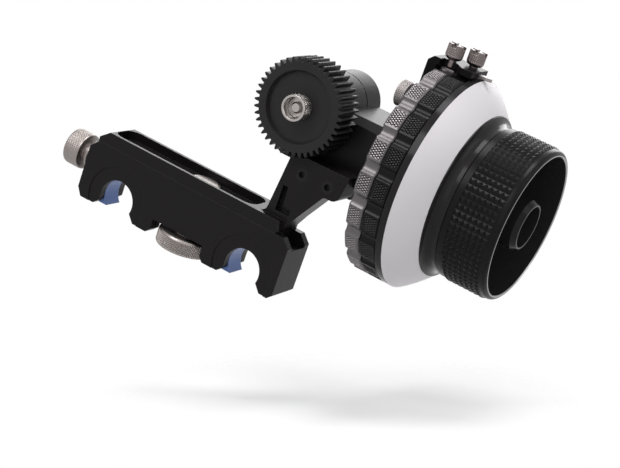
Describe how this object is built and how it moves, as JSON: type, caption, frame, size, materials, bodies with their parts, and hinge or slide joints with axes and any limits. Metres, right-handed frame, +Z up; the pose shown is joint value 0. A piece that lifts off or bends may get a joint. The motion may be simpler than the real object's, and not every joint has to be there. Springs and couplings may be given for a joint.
{
  "type": "follow focus",
  "caption": "Follow focus for a camera on two rods: geared handwheel with white marking disc, hard-stop rings, sliding rail and rod clamp.",
  "frame": {"origin": "midway between the two rod axes, in the middle of the clamp's length", "axes": "+X across the rods towards the handwheel, +Y along the rods from the drive gear towards the gearbox, +Z up"},
  "size_m": [0.1781, 0.081, 0.1115],
  "materials": {
    "black_anodised": "satin black anodised aluminium",
    "black_gear": "matt black anodised aluminium",
    "titan_grey": "glossy dark grey anodised aluminium",
    "grip_black": "knurled black anodised aluminium",
    "white": "satin white writing surface",
    "blue_anodised": "satin blue anodised aluminium",
    "nickel": "satin nickel-plated steel",
    "steel": "ground steel",
    "screw_black": "black oxide steel",
    "bearing_steel": "polished bearing steel",
    "brass": "machined brass",
    "gloss_black_metal": "gloss black anodised aluminium"
  },
  "bodies": {
    "clamp": {"clamp_block": "black_anodised", "lock_stud": "nickel"},
    "jaws": {"left_jaw": "blue_anodised", "right_jaw": "blue_anodised", "jaw_bar": "black_anodised", "jaw_screws": "screw_black"},
    "side_screw": {"side_thumbscrew": "nickel", "screw_clip": "steel"},
    "knob": {"lock_knob": "nickel"},
    "carriage": {"rail_arm": "black_anodised", "gearbox_body": "black_anodised", "gearbox_rear_cover": "black_anodised", "shaft_cap": "black_anodised", "cover_screws": "screw_black", "cap_screws": "screw_black", "arm_screws": "screw_black", "stop_carrier": "black_anodised", "carrier_screws": "screw_black", "thrust_washer": "brass", "ring_retainer": "steel", "top_bracket": "black_anodised", "index_pointer": "nickel", "drive_bearing_front": "bearing_steel", "drive_bearing_rear": "bearing_steel", "counter_bearing_front": "bearing_steel", "counter_bearing_rear": "bearing_steel", "wheel_bearing_inner": "bearing_steel", "wheel_bearing_outer": "bearing_steel"},
    "drive": {"drive_shaft": "steel", "drive_gear": "black_gear", "gear_nut": "nickel", "drive_pinion": "steel"},
    "countershaft": {"counter_shaft": "steel", "counter_spur": "steel", "counter_bevel": "brass"},
    "wheel": {"wheel_shaft": "steel", "wheel_bevel": "brass", "wheel_hub": "gloss_black_metal", "marking_disc": "white", "disc_collar": "gloss_black_metal", "grip": "grip_black", "socket_insert": "steel", "hub_screw": "steel"},
    "ring_a": {"stop_ring_a": "titan_grey"},
    "ring_b": {"stop_ring_b": "gloss_black_metal"},
    "lock_a": {"lock_screw_a": "nickel"},
    "lock_b": {"lock_screw_b": "nickel"},
    "bracket_screw": {"bracket_thumbscrew": "nickel"}
  },
  "joints": [
    {"name": "jaw_slide", "type": "slide", "parent": "clamp", "child": "jaws", "axis": [1, 0, 0], "range_m": [-0.0035, 0]},
    {"name": "side_screw_turn", "type": "hinge", "parent": "clamp", "child": "side_screw", "pos_m": [-0.056, 0, 0.009], "axis": [1, 0, 0], "range_deg": [-1261, 0]},
    {"name": "knob_turn", "type": "hinge", "parent": "clamp", "child": "knob", "pos_m": [0, 0, -0.003], "axis": [0, 0, 1], "range_deg": [-540, 0]},
    {"name": "carriage_slide", "type": "slide", "parent": "clamp", "child": "carriage", "axis": [1, 0, 0], "range_m": [-0.0188, 0.0344]},
    {"name": "wheel_spin", "type": "hinge", "parent": "carriage", "child": "wheel", "pos_m": [0.1, 0.0175, 0.0553], "axis": [1, 0, 0], "continuous": true},
    {"name": "counter_spin", "type": "hinge", "parent": "carriage", "child": "countershaft", "pos_m": [0.0312, 0.0175, 0.0553], "axis": [0, 1, 0], "continuous": true},
    {"name": "drive_spin", "type": "hinge", "parent": "carriage", "child": "drive", "pos_m": [0.0312, 0, 0.0653], "axis": [0, 1, 0], "continuous": true},
    {"name": "ring_a_turn", "type": "hinge", "parent": "carriage", "child": "ring_a", "pos_m": [0.0705, 0.0175, 0.0553], "axis": [1, 0, 0], "continuous": true},
    {"name": "ring_b_turn", "type": "hinge", "parent": "carriage", "child": "ring_b", "pos_m": [0.0769, 0.0175, 0.0553], "axis": [1, 0, 0], "continuous": true},
    {"name": "lock_a_turn", "type": "hinge", "parent": "carriage", "child": "lock_a", "pos_m": [0.07053, 0.0145, 0.1], "axis": [0, 0, 1], "range_deg": [-108, 720]},
    {"name": "lock_b_turn", "type": "hinge", "parent": "carriage", "child": "lock_b", "pos_m": [0.07692, 0.0195, 0.1], "axis": [0, 0, 1], "range_deg": [-108, 720]},
    {"name": "bracket_screw_turn", "type": "hinge", "parent": "carriage", "child": "bracket_screw", "pos_m": [0.057, 0.0175, 0.0797], "axis": [1, 0, 0], "range_deg": [-1080, 0]}
  ],
  "couplings": [
    {"joint": "side_screw_turn", "follows": "jaw_slide", "rad_per_m": 6283.2},
    {"joint": "counter_spin", "follows": "wheel_spin", "ratio": -1},
    {"joint": "drive_spin", "follows": "wheel_spin", "ratio": 1}
  ]
}
